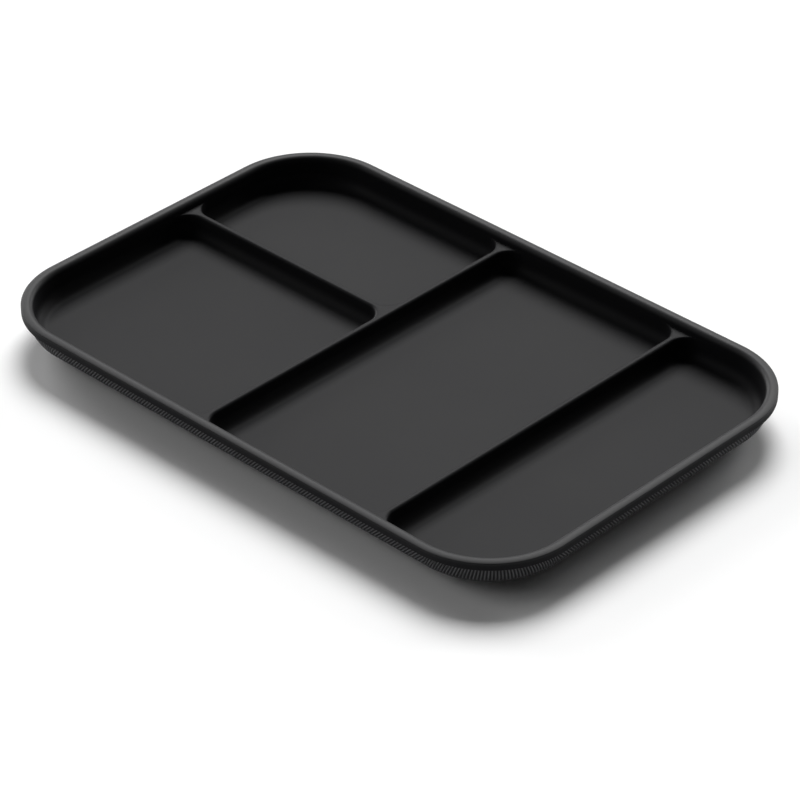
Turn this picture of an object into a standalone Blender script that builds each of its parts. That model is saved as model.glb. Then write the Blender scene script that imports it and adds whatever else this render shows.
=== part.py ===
"""Compartment tray: a shallow moulded tray with four pockets, a ribbed grip ring and a screwed base.

Metres, +Z up. The origin is the middle of the footprint, on the surface that the feet stand on.
+X runs along the tray's length, +Y across it. The pocket side is up.
Run it with: blender --background --python part.py
"""

import math

import bmesh
import bpy
from mathutils import Vector

# Whole tray
TRAY_LENGTH = 0.270
TRAY_WIDTH = 0.180
TRAY_HEIGHT = 0.0173
CORNER_RADIUS = 0.0367

# Rim and lip. The rim is gently crowned, and rounder towards the pockets.
RIM_CROWN_RADIUS = 0.008
RIM_EDGE_RADIUS = 0.0004
RIM_INNER_RADIUS = 0.0024
RIM_THICKNESS = 0.0019
LIP_DROP = 0.00345
LIP_THICKNESS = 0.0014

# Walls and pockets, depths counted down from the rim's top
WALL = 0.0015
WALL_INSET = 0.0049
DRAFT = math.radians(4.0)
DIVIDER_DROP = 0.0032
FLOOR_FILLET = 0.0052
POCKET_CORNER_RADIUS = 0.008
LEAST_RADIUS = 0.0008

# Dividers: a short one across the left column, and two over the full depth.
# Their places are shares of the tray's half width or half length, from its middle.
CROSS_DIVIDER_SHARE = 0.1933
LEFT_DIVIDER_SHARE = -0.1415
RIGHT_DIVIDER_SHARE = 0.5363
DIVIDER_WIDTH = 0.0028
DIVIDER_EDGE_RADIUS = 0.0011

# Ribbed grip ring. Its heights are shares of the pocket depth, counted down from the rim's top.
RING_TOP_SHARE = 0.538
CREST_INSET = 0.0006
CREST_SHARE = 0.641
LOW_EDGE_INSET = 0.0050
KNEE_INSET = 0.0093
RING_FLANGE = 0.0009
RING_FLANGE_INSET = 0.0138
RIB_PITCH = 0.001515
RIB_DEPTH = 0.0005
LOW_RIB_DEPTH = 0.00025
RIBS_PER_PANEL = 5

# Base plate
PLATE_INSET = 0.0120
PLATE_THICKNESS = 0.0016
PLATE_CHAMFER = 0.0004
STANDOFF_RADIUS = 0.003

# Feet
FOOT_RADIUS = 0.005
FOOT_STANDOUT = 0.001
FOOT_RECESS_DEPTH = 0.0006
FOOT_EDGE_RADIUS = 0.0004
FOOT_INSET = 0.026

# Base screws and the bosses they drive into
SCREW_RADIUS = 0.0011
SCREW_HEAD_RADIUS = 0.0022
SCREW_HEAD_HEIGHT = 0.0011
SCREW_SUNK = 0.0001
SCREW_LENGTH = 0.0063
SCREW_TIP = 0.0007
SOCKET_RADIUS = 0.0009
SOCKET_DEPTH = 0.0006
BOSS_RADIUS = 0.00275
BOSS_INSET = 0.018
PILOT_OVERRUN = 0.0004

# Fits and cuts
GAP = 0.0003
SCREW_GAP = 0.0002
CUT = 0.0005

# How finely the round shapes are cut
CORNER_STEPS = 10
POCKET_CORNER_STEPS = 5
FILLET_STEPS = 4
RIM_STEPS = 4
DIVIDER_EDGE_STEPS = 3
ROUND_STEPS = 18
SCREW_STEPS = 12
SHARP_ANGLE = math.radians(32.0)

# Places that follow from the sizes above, the heights from the floor up
HALF_LENGTH = TRAY_LENGTH / 2
HALF_WIDTH = TRAY_WIDTH / 2
CROSS_DIVIDER_Y = CROSS_DIVIDER_SHARE * HALF_WIDTH
LEFT_DIVIDER_X = LEFT_DIVIDER_SHARE * HALF_LENGTH
RIGHT_DIVIDER_X = RIGHT_DIVIDER_SHARE * HALF_LENGTH
PLATE_BOTTOM_Z = FOOT_STANDOUT
PLATE_TOP_Z = PLATE_BOTTOM_Z + PLATE_THICKNESS
FLANGE_BOTTOM_Z = PLATE_TOP_Z + GAP
FLANGE_TOP_Z = FLANGE_BOTTOM_Z + RING_FLANGE
BODY_BOTTOM_Z = FLANGE_TOP_Z + GAP
STANDOFF_TOP_Z = BODY_BOTTOM_Z - GAP
SCREW_Z = PLATE_BOTTOM_Z + SCREW_SUNK
POCKET_DEPTH = TRAY_HEIGHT - BODY_BOTTOM_Z - WALL
POCKET_DROP = POCKET_DEPTH - DIVIDER_DROP
FILLET_CENTRE_DROP = POCKET_DROP - FLOOR_FILLET
FILLET_START_DROP = FILLET_CENTRE_DROP + FLOOR_FILLET * math.sin(DRAFT)
FILLET_CENTRE_RUN = FILLET_START_DROP * math.tan(DRAFT) + FLOOR_FILLET * math.cos(DRAFT)
RIM_BEND_INSET = WALL_INSET + (RIM_INNER_RADIUS - DIVIDER_DROP) * math.tan(DRAFT)
CROWN_INSET = RIM_BEND_INSET - RIM_INNER_RADIUS / math.cos(DRAFT)
RING_TOP_DEPTH = RING_TOP_SHARE * POCKET_DEPTH
CREST_DEPTH = CREST_SHARE * POCKET_DEPTH
LOW_EDGE_DEPTH = POCKET_DEPTH


def clear_scene():
    """Removes whatever the scene starts with."""
    for item in list(bpy.data.objects):
        bpy.data.objects.remove(item, do_unlink=True)


def material(name, colour, roughness, metallic=0.0):
    """A plain Principled material."""
    made = bpy.data.materials.new(name)
    made.use_nodes = True
    shader = made.node_tree.nodes["Principled BSDF"]
    shader.inputs["Base Color"].default_value = (*colour, 1.0)
    shader.inputs["Roughness"].default_value = roughness
    shader.inputs["Metallic"].default_value = metallic
    return made


def add_object(name, mesh, look=None):
    """Links a mesh as an object, shaded smooth but for its real edges."""
    item = bpy.data.objects.new(name, mesh)
    bpy.context.scene.collection.objects.link(item)
    mesh.shade_smooth()
    mesh.set_sharp_from_angle(angle=SHARP_ANGLE)
    if look is not None:
        mesh.materials.append(look)
    return item


def as_cutter(item):
    """Marks an object as a cutter, which isn't part of the tray."""
    item.hide_render = True
    item.display_type = "WIRE"
    return item


def boolean(item, tool, operation):
    """Adds a live Boolean modifier."""
    step = item.modifiers.new(tool.name, "BOOLEAN")
    step.operation = operation
    step.solver = "EXACT"
    step.object = tool


def skin_loops(bm, loops):
    """Joins closed loops of equal length into one closed skin with flat ends."""
    rings = [[bm.verts.new(point) for point in loop] for loop in loops]
    for upper, lower in zip(rings, rings[1:]):
        count = len(upper)
        for here in range(count):
            after = (here + 1) % count
            bm.faces.new((upper[here], lower[here], lower[after], upper[after]))
    bm.faces.new(rings[0])
    bm.faces.new(list(reversed(rings[-1])))


def loft_mesh(name, bodies):
    """A mesh of one or more lofted bodies, each a list of loops from top to bottom."""
    bm = bmesh.new()
    for loops in bodies:
        skin_loops(bm, loops)
    bmesh.ops.recalc_face_normals(bm, faces=bm.faces)
    mesh = bpy.data.meshes.new(name)
    bm.to_mesh(mesh)
    bm.free()
    return mesh


def circle(centre, radius, z, steps):
    """Points of a level circle."""
    turns = [2 * math.pi * step / steps for step in range(steps)]
    return [Vector((centre[0] + radius * math.cos(a), centre[1] + radius * math.sin(a), z)) for a in turns]


def outline(low, high, radii, steps, z):
    """Points of a level rounded rectangle, from its back right corner round by the left.

    radii and steps hold one value for each corner: back right, back left, front left, front right.
    """
    signs = ((1, 1), (-1, 1), (-1, -1), (1, -1))
    points = []
    for corner, (side_x, side_y) in enumerate(signs):
        radius = radii[corner]
        centre_x = (high[0] if side_x > 0 else low[0]) - side_x * radius
        centre_y = (high[1] if side_y > 0 else low[1]) - side_y * radius
        for step in range(steps[corner] + 1):
            turn = math.pi / 2 * (corner + step / steps[corner])
            points.append(Vector((centre_x + radius * math.cos(turn), centre_y + radius * math.sin(turn), z)))
    return points


def tray_outline(inset, depth, steps=CORNER_STEPS):
    """The tray's own outline, moved in by inset, at a depth below the rim's top."""
    high = (HALF_LENGTH - inset, HALF_WIDTH - inset)
    low = (-high[0], -high[1])
    radius = max(CORNER_RADIUS - inset, LEAST_RADIUS)
    return outline(low, high, [radius] * 4, [steps] * 4, TRAY_HEIGHT - depth)


def wall_run(drop, skin=0.0):
    """How far a pocket's side has come in at a drop below the divider tops.

    The side slopes by its draft and ends in the floor fillet. skin gives the same side, thicker by skin.
    """
    radius = FLOOR_FILLET + skin
    if drop <= FILLET_CENTRE_DROP + radius * math.sin(DRAFT):
        return drop * math.tan(DRAFT) - skin / math.cos(DRAFT)
    return FILLET_CENTRE_RUN - math.sqrt(max(radius ** 2 - (drop - FILLET_CENTRE_DROP) ** 2, 0.0))


def fillet_drops(skin=0.0):
    """The drops at which the floor fillet is cut, from its start to the floor."""
    turns = [DRAFT + (math.pi / 2 - DRAFT) * step / FILLET_STEPS for step in range(FILLET_STEPS + 1)]
    return [FILLET_CENTRE_DROP + (FLOOR_FILLET + skin) * math.sin(turn) for turn in turns]


def rim_inner_profile():
    """Inset and depth of the rim's rounded inner edge, down to the divider tops."""
    points = [(CROWN_INSET, -CUT), (CROWN_INSET, 0.0)]
    span = math.pi / 2 - DRAFT
    for step in range(1, RIM_STEPS + 1):
        turn = math.pi / 2 - span * step / RIM_STEPS
        inset = CROWN_INSET + RIM_INNER_RADIUS * math.cos(turn)
        points.append((inset, RIM_INNER_RADIUS * (1 - math.sin(turn))))
    points.append((WALL_INSET, DIVIDER_DROP))
    return points


def shell_profile():
    """Inset and depth of the body's outside: rim, hanging lip, wall and the curve under the floor."""
    reach = RIM_CROWN_RADIUS - RIM_EDGE_RADIUS
    tilt = math.asin((CROWN_INSET - RIM_EDGE_RADIUS) / reach)
    edge_depth = RIM_CROWN_RADIUS - reach * math.cos(tilt)
    points = []
    for step in range(RIM_STEPS):
        turn = tilt * step / RIM_STEPS
        inset = CROWN_INSET - RIM_CROWN_RADIUS * math.sin(turn)
        points.append((inset, RIM_CROWN_RADIUS * (1 - math.cos(turn))))
    for step in range(RIM_STEPS + 1):
        turn = tilt + (math.pi / 2 - tilt) * step / RIM_STEPS
        inset = RIM_EDGE_RADIUS * (1 - math.sin(turn))
        points.append((inset, edge_depth - RIM_EDGE_RADIUS * math.cos(turn)))
    points.append((0.0, LIP_DROP))
    points.append((LIP_THICKNESS, LIP_DROP))
    points.append((LIP_THICKNESS, RIM_THICKNESS))
    under_rim = WALL_INSET + wall_run(RIM_THICKNESS - DIVIDER_DROP, WALL)
    points.append((under_rim, RIM_THICKNESS))
    for drop in fillet_drops(WALL):
        points.append((WALL_INSET + wall_run(drop, WALL), DIVIDER_DROP + drop))
    return points


def pocket_sides():
    """The four pockets at the divider tops: name, low corner, high corner and which sides are outer walls."""
    left = -HALF_LENGTH + WALL_INSET
    right = HALF_LENGTH - WALL_INSET
    front = -HALF_WIDTH + WALL_INSET
    back = HALF_WIDTH - WALL_INSET
    half = DIVIDER_WIDTH / 2
    column_end = LEFT_DIVIDER_X - half
    middle_start = LEFT_DIVIDER_X + half
    middle_end = RIGHT_DIVIDER_X - half
    last_start = RIGHT_DIVIDER_X + half
    return (
        ("front_left", (left, front), (column_end, CROSS_DIVIDER_Y - half), {"left", "front"}),
        ("back_left", (left, CROSS_DIVIDER_Y + half), (column_end, back), {"left", "back"}),
        ("middle", (middle_start, front), (middle_end, back), {"front", "back"}),
        ("right", (last_start, front), (right, back), {"front", "back", "right"}),
    )


def pocket_loop(pocket, drop, skin=0.0, edge=0.0, lift=0.0):
    """One level of a pocket, at a drop below the divider tops.

    Its corners are the tray's own, or the smaller ones beside a divider. edge moves only the divider
    sides out, for their rounded top edges, and lift raises the whole loop.
    """
    _, low, high, outer = pocket
    run = wall_run(drop, skin)
    runs = {side: run if side in outer else run - edge for side in ("left", "right", "front", "back")}
    radii = []
    steps = []
    for across, along in (("right", "back"), ("left", "back"), ("left", "front"), ("right", "front")):
        at_tray_corner = across in outer and along in outer
        full = CORNER_RADIUS - WALL_INSET if at_tray_corner else POCKET_CORNER_RADIUS
        radii.append(max(full - run, LEAST_RADIUS))
        steps.append(CORNER_STEPS if at_tray_corner else POCKET_CORNER_STEPS)
    inner_low = (low[0] + runs["left"], low[1] + runs["front"])
    inner_high = (high[0] - runs["right"], high[1] - runs["back"])
    return outline(inner_low, inner_high, radii, steps, TRAY_HEIGHT - DIVIDER_DROP - drop + lift)


def pocket_loops(pocket):
    """The loft that cuts one pocket, from just over the divider tops, round their edges, to the floor."""
    loops = [pocket_loop(pocket, 0.0, edge=DIVIDER_EDGE_RADIUS, lift=CUT)]
    for step in range(DIVIDER_EDGE_STEPS + 1):
        turn = math.pi / 2 * step / DIVIDER_EDGE_STEPS
        drop = DIVIDER_EDGE_RADIUS * (1 - math.cos(turn))
        loops.append(pocket_loop(pocket, drop, edge=DIVIDER_EDGE_RADIUS * (1 - math.sin(turn))))
    loops.extend(pocket_loop(pocket, drop) for drop in fillet_drops())
    return loops


def shell_loops(pocket):
    """The same pocket grown by the wall, from the divider tops to below the body."""
    drops = [0.0] + fillet_drops(WALL)
    loops = [pocket_loop(pocket, drop, WALL) for drop in drops]
    loops.append(pocket_loop(pocket, drops[-1], WALL, lift=-WALL))
    return loops


def screw_places():
    """Where the six base screws stand: under the ends of the dividers and under their junction."""
    side = HALF_WIDTH - BOSS_INSET
    return (
        (-HALF_LENGTH + BOSS_INSET, CROSS_DIVIDER_Y),
        (LEFT_DIVIDER_X - DIVIDER_WIDTH / 2, CROSS_DIVIDER_Y),
        (LEFT_DIVIDER_X, -side),
        (LEFT_DIVIDER_X, side),
        (RIGHT_DIVIDER_X, -side),
        (RIGHT_DIVIDER_X, side),
    )


def foot_places():
    """Where the four feet stand, near the corners."""
    far_x = HALF_LENGTH - FOOT_INSET
    far_y = HALF_WIDTH - FOOT_INSET
    return ((-far_x, -far_y), (far_x, -far_y), (-far_x, far_y), (far_x, far_y))


def under_cavity():
    """The hollow that opens downwards between the pockets, with the screw bosses left standing."""
    drops = [WALL] + fillet_drops()
    loops = []
    for drop in drops:
        inset = WALL_INSET + wall_run(drop) + WALL / 2
        loops.append(tray_outline(inset, DIVIDER_DROP + drop))
    floor_inset = WALL_INSET + wall_run(drops[-1]) + WALL / 2
    loops.append(tray_outline(floor_inset, TRAY_HEIGHT - BODY_BOTTOM_Z + CUT))
    cavity = as_cutter(add_object("under_cavity", loft_mesh("under_cavity", [loops])))
    for pocket in pocket_sides():
        name = "shell_of_" + pocket[0]
        shell = as_cutter(add_object(name, loft_mesh(name, [shell_loops(pocket)])))
        boolean(cavity, shell, "DIFFERENCE")
    top = TRAY_HEIGHT - DIVIDER_DROP
    bottom = BODY_BOTTOM_Z - 2 * CUT
    bodies = []
    for place in screw_places():
        levels = [circle(place, BOSS_RADIUS, z, ROUND_STEPS) for z in (top, bottom)]
        bodies.append(levels)
    bosses = as_cutter(add_object("screw_bosses", loft_mesh("screw_bosses", bodies)))
    boolean(cavity, bosses, "DIFFERENCE")
    return cavity


def pilot_holes():
    """The blind holes in the bosses, a little deeper than the screws reach."""
    top = SCREW_Z + SCREW_LENGTH + PILOT_OVERRUN
    bottom = BODY_BOTTOM_Z - CUT
    radius = SCREW_RADIUS + SCREW_GAP
    bodies = []
    for place in screw_places():
        bodies.append([circle(place, radius, z, SCREW_STEPS) for z in (top, bottom)])
    return as_cutter(add_object("pilot_holes", loft_mesh("pilot_holes", bodies)))


def build_tray_body(look):
    """The moulded tray: lip, thin walls, four pockets and the hollow underside."""
    loops = [tray_outline(inset, depth) for inset, depth in shell_profile()]
    body = add_object("tray_body", loft_mesh("tray_body", [loops]), look)
    well_loops = [tray_outline(inset, depth) for inset, depth in rim_inner_profile()]
    well = as_cutter(add_object("well_over_dividers", loft_mesh("well_over_dividers", [well_loops])))
    boolean(body, well, "DIFFERENCE")
    pocket_bodies = [pocket_loops(pocket) for pocket in pocket_sides()]
    pockets = as_cutter(add_object("pockets", loft_mesh("pockets", pocket_bodies)))
    boolean(body, pockets, "DIFFERENCE")
    boolean(body, under_cavity(), "DIFFERENCE")
    boolean(body, pilot_holes(), "DIFFERENCE")
    return body


def panel_counts():
    """Panels of five ribs on a long side, round a corner and on a short side."""
    long_side = TRAY_LENGTH - 2 * CORNER_RADIUS
    short_side = TRAY_WIDTH - 2 * CORNER_RADIUS
    panel = RIB_PITCH * RIBS_PER_PANEL
    return round(long_side / panel), CORNER_STEPS, round(short_side / panel)


def ring_path(points_per_panel):
    """Places round the ring: for each one the centre of its turn and the way the ring faces there."""
    long_panels, corner_panels, short_panels = panel_counts()
    reach_x = HALF_LENGTH - CORNER_RADIUS
    reach_y = HALF_WIDTH - CORNER_RADIUS
    signs = ((1, 1), (-1, 1), (-1, -1), (1, -1))
    places = []
    for corner, (side_x, side_y) in enumerate(signs):
        centre = Vector((side_x * reach_x, side_y * reach_y))
        count = corner_panels * points_per_panel
        for step in range(count):
            turn = math.pi / 2 * (corner + step / count)
            places.append((centre, Vector((math.cos(turn), math.sin(turn)))))
        next_x, next_y = signs[(corner + 1) % 4]
        after = Vector((next_x * reach_x, next_y * reach_y))
        turn = math.pi / 2 * (corner + 1)
        facing = Vector((math.cos(turn), math.sin(turn)))
        count = (long_panels if corner % 2 == 0 else short_panels) * points_per_panel
        for step in range(count):
            places.append((centre.lerp(after, step / count), facing))
    return places


def ring_loop(bm, places, crest, valley=None):
    """One loop of vertices round the ring. crest and valley are (inset, depth), taken in turn."""
    ends = (crest, valley or crest)
    ring = []
    for number, (centre, facing) in enumerate(places):
        inset, depth = ends[number % 2]
        point = centre + facing * (CORNER_RADIUS - inset)
        ring.append(bm.verts.new((point.x, point.y, TRAY_HEIGHT - depth)))
    return ring


def bridge_equal(bm, upper, lower):
    """Faces between two loops of the same length."""
    count = len(upper)
    for here in range(count):
        after = (here + 1) % count
        bm.faces.new((upper[here], lower[here], lower[after], upper[after]))


def bridge_fine(bm, plain, fine):
    """Triangles between a plain loop and a ribbed one, panel by panel."""
    share = len(fine) // len(plain)
    middle = share // 2
    for panel, vertex in enumerate(plain):
        following = plain[(panel + 1) % len(plain)]
        first = panel * share
        for step in range(share):
            here = fine[first + step]
            after = fine[(first + step + 1) % len(fine)]
            bm.faces.new((vertex if step < middle else following, here, after))
        bm.faces.new((vertex, fine[first + middle], following))


def seat_profile():
    """Inset and depth of the ring's inner side, which follows the body's outside with a gap."""
    skin = WALL + GAP
    top = RING_TOP_DEPTH - DIVIDER_DROP
    points = [(WALL_INSET + wall_run(top, skin), RING_TOP_DEPTH)]
    for drop in fillet_drops(skin)[:-1]:
        if drop > top + GAP:
            points.append((WALL_INSET + wall_run(drop, skin), DIVIDER_DROP + drop))
    return points


def build_grip_ring(look):
    """The ribbed ring: a wedge of ribs round the wall, and a flange that the base plate clamps."""
    bm = bmesh.new()
    fine = ring_path(2 * RIBS_PER_PANEL)
    plain = ring_path(1)
    flange_top = TRAY_HEIGHT - FLANGE_TOP_Z
    flange_bottom = TRAY_HEIGHT - FLANGE_BOTTOM_Z
    crest = (CREST_INSET, CREST_DEPTH)
    valley = (CREST_INSET + RIB_DEPTH, CREST_DEPTH + RIB_DEPTH)
    low_crest = (LOW_EDGE_INSET, LOW_EDGE_DEPTH)
    low_valley = (LOW_EDGE_INSET + LOW_RIB_DEPTH, LOW_EDGE_DEPTH)
    seat = [ring_loop(bm, plain, point) for point in seat_profile()]
    outer = ring_loop(bm, fine, crest, valley)
    low = ring_loop(bm, fine, low_crest, low_valley)
    rest = [ring_loop(bm, plain, (KNEE_INSET, flange_bottom))]
    rest.append(ring_loop(bm, plain, (RING_FLANGE_INSET, flange_bottom)))
    rest.append(ring_loop(bm, plain, (RING_FLANGE_INSET, flange_top)))
    rest.append(ring_loop(bm, plain, (WALL_INSET + FILLET_CENTRE_RUN, flange_top)))
    bridge_fine(bm, seat[0], outer)
    bridge_equal(bm, outer, low)
    bridge_fine(bm, rest[0], low)
    inside = rest + list(reversed(seat))
    for first, second in zip(inside, inside[1:]):
        bridge_equal(bm, first, second)
    bmesh.ops.recalc_face_normals(bm, faces=bm.faces)
    mesh = bpy.data.meshes.new("grip_ring")
    bm.to_mesh(mesh)
    bm.free()
    return add_object("grip_ring", mesh, look)


def build_base_plate(look):
    """The flat cover underneath, with standoffs, sunk screw seats and recesses for the feet."""
    depth = TRAY_HEIGHT - PLATE_TOP_Z
    plate_loops = [
        tray_outline(PLATE_INSET, depth),
        tray_outline(PLATE_INSET, depth + PLATE_THICKNESS - PLATE_CHAMFER),
        tray_outline(PLATE_INSET + PLATE_CHAMFER, depth + PLATE_THICKNESS),
    ]
    plate = add_object("base_plate", loft_mesh("base_plate", [plate_loops]), look)
    middle_z = (PLATE_TOP_Z + PLATE_BOTTOM_Z) / 2
    standoff_bodies = []
    for place in screw_places():
        levels = (STANDOFF_TOP_Z, middle_z)
        standoff_bodies.append([circle(place, STANDOFF_RADIUS, z, ROUND_STEPS) for z in levels])
    standoffs = as_cutter(add_object("standoffs", loft_mesh("standoffs", standoff_bodies)))
    boolean(plate, standoffs, "UNION")
    hole = SCREW_RADIUS + SCREW_GAP
    head = SCREW_HEAD_RADIUS + SCREW_GAP
    sink_bodies = []
    for place in screw_places():
        levels = (
            (hole, STANDOFF_TOP_Z + CUT),
            (hole, SCREW_Z + SCREW_HEAD_HEIGHT + SCREW_GAP),
            (head, SCREW_Z + SCREW_GAP),
            (head, PLATE_BOTTOM_Z - CUT),
        )
        sink_bodies.append([circle(place, radius, z, SCREW_STEPS) for radius, z in levels])
    sinks = as_cutter(add_object("screw_seats", loft_mesh("screw_seats", sink_bodies)))
    boolean(plate, sinks, "DIFFERENCE")
    recess = FOOT_RADIUS + GAP
    recess_bodies = []
    for place in foot_places():
        levels = (PLATE_BOTTOM_Z + FOOT_RECESS_DEPTH, PLATE_BOTTOM_Z - CUT)
        recess_bodies.append([circle(place, recess, z, ROUND_STEPS) for z in levels])
    recesses = as_cutter(add_object("foot_recesses", loft_mesh("foot_recesses", recess_bodies)))
    boolean(plate, recesses, "DIFFERENCE")
    return plate


def hexagon(radius, z):
    """A loop of SCREW_STEPS points on a hexagon: its corners and the middles of its flats."""
    points = []
    for step in range(SCREW_STEPS):
        turn = 2 * math.pi * step / SCREW_STEPS
        reach = radius if step % 2 == 0 else radius * math.cos(math.pi / 6)
        points.append(Vector((reach * math.cos(turn), reach * math.sin(turn), z)))
    return points


def screw_mesh():
    """A countersunk screw with a hexagon socket, head down, its head face at z zero."""
    centre = (0.0, 0.0)
    tip_z = SCREW_LENGTH
    loops = [
        circle(centre, SCREW_RADIUS / 3, tip_z, SCREW_STEPS),
        circle(centre, SCREW_RADIUS, tip_z - SCREW_TIP, SCREW_STEPS),
        circle(centre, SCREW_RADIUS, SCREW_HEAD_HEIGHT, SCREW_STEPS),
        circle(centre, SCREW_HEAD_RADIUS, 0.0, SCREW_STEPS),
        hexagon(SOCKET_RADIUS, 0.0),
        hexagon(SOCKET_RADIUS, SOCKET_DEPTH),
    ]
    return loft_mesh("base_screw", [loops])


def build_screws(look):
    """Six equal screws, heads down in the base plate."""
    mesh = screw_mesh()
    mesh.materials.append(look)
    for number, place in enumerate(screw_places(), start=1):
        screw = add_object("base_screw_%d" % number, mesh)
        screw.location = (place[0], place[1], SCREW_Z)


def foot_mesh():
    """A round rubber foot with a softened lower edge, its lower face at z zero."""
    top = PLATE_BOTTOM_Z + FOOT_RECESS_DEPTH - GAP
    centre = (0.0, 0.0)
    loops = [circle(centre, FOOT_RADIUS, top, ROUND_STEPS)]
    for step in range(RIM_STEPS + 1):
        turn = math.pi / 2 * step / RIM_STEPS
        radius = FOOT_RADIUS - FOOT_EDGE_RADIUS * (1 - math.cos(turn))
        loops.append(circle(centre, radius, FOOT_EDGE_RADIUS * (1 - math.sin(turn)), ROUND_STEPS))
    return loft_mesh("rubber_foot", [loops])


def build_feet(look):
    """Four equal feet in the base plate's recesses."""
    mesh = foot_mesh()
    mesh.materials.append(look)
    names = ("front_left", "front_right", "back_left", "back_right")
    for name, place in zip(names, foot_places()):
        foot = add_object("foot_" + name, mesh)
        foot.location = (place[0], place[1], 0.0)


def main():
    """Builds the whole tray."""
    clear_scene()
    soft_touch = material("soft_touch_black", (0.022, 0.022, 0.023), 0.55)
    grip_rubber = material("grip_rubber", (0.016, 0.016, 0.017), 0.7)
    base_plastic = material("base_plastic", (0.020, 0.020, 0.021), 0.6)
    black_steel = material("black_steel", (0.05, 0.05, 0.052), 0.4, 1.0)
    foot_rubber = material("foot_rubber", (0.03, 0.03, 0.032), 0.85)
    build_tray_body(soft_touch)
    build_grip_ring(grip_rubber)
    build_base_plate(base_plastic)
    build_screws(black_steel)
    build_feet(foot_rubber)


main()
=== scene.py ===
import math

import bmesh
import bpy
from bpy.props import FloatProperty, FloatVectorProperty, IntProperty, PointerProperty, StringProperty
from bpy.types import Operator, Panel, PropertyGroup
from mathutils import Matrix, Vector


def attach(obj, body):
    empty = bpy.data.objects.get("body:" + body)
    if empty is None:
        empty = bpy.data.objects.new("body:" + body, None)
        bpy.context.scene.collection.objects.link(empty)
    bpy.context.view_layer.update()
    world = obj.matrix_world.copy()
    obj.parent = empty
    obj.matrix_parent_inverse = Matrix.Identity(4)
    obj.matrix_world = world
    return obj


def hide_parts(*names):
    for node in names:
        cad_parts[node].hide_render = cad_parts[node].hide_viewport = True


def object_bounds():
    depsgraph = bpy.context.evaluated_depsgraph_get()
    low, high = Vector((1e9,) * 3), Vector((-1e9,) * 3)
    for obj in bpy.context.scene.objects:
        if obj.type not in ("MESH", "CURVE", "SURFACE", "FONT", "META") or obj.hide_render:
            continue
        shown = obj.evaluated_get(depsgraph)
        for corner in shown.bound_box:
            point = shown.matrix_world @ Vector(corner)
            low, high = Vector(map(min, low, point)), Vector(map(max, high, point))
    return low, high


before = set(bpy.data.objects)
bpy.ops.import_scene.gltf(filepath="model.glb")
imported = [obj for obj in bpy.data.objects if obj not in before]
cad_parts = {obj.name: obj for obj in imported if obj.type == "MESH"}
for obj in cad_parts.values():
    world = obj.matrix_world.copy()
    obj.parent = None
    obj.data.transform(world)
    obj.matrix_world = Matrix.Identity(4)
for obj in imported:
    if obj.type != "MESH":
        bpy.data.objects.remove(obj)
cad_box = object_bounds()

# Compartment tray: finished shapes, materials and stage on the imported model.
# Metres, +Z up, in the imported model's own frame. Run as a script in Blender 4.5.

bl_info = {
    "name": "Compartment Tray",
    "version": (1, 0, 0),
    "blender": (4, 5, 0),
    "location": "3D View > Sidebar > Tray",
    "description": "Builds the finished pieces of a compartment tray on its packed frame",
    "category": "Object",
}

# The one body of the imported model, which every piece rides on.
BODY = "root"
MM = 0.001
TRAY_LOW, TRAY_HIGH = cad_box
TRAY_TOP = TRAY_HIGH.z
HALF_LENGTH = (TRAY_HIGH.x - TRAY_LOW.x) / 2
HALF_WIDTH = (TRAY_HIGH.y - TRAY_LOW.y) / 2
# Corners of a rounded rectangle as sides of x and y: back right, back left, front left, front right.
CORNER_SIGNS = ((1, 1), (-1, 1), (-1, -1), (1, -1))
# Edges that turn by more than these angles stay sharp in the shading.
BODY_EDGE_ANGLE = math.radians(32)
RING_EDGE_ANGLE = math.radians(50)
# A value on the ring's points: 1 on a rib's top, 0 in the hollows and off the ribs. It masks the painted
# shade on the ring.
RIDGE = "rib_ridge"
# The rows of the ring's ribbed band, as shares of its height, closer where the ribs fade out.
BAND_ROWS = (0.0, 0.04, 0.15, 0.3, 0.45, 0.6, 0.75, 0.88, 0.96)
# A rib fades in over one twelfth of the band's height, and out again over the last one.
RIB_FADE = 12
# Half the side of the studio floor, in metres.
FLOOR_REACH = 4.0
# Each soft light: its bearing from the back towards the left, its height and its spread in degrees,
# and its strength in watts on a square metre.
SOFT_LIGHTS = {
    "key_light": (38, 43, 32, 3.45),
    "low_left_light": (75, 15, 30, 1.7),
    "low_back_light": (5, 15, 30, 1.3),
    "front_left_light": (130, 30, 40, 0.6),
}


# Sizes and colours


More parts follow.
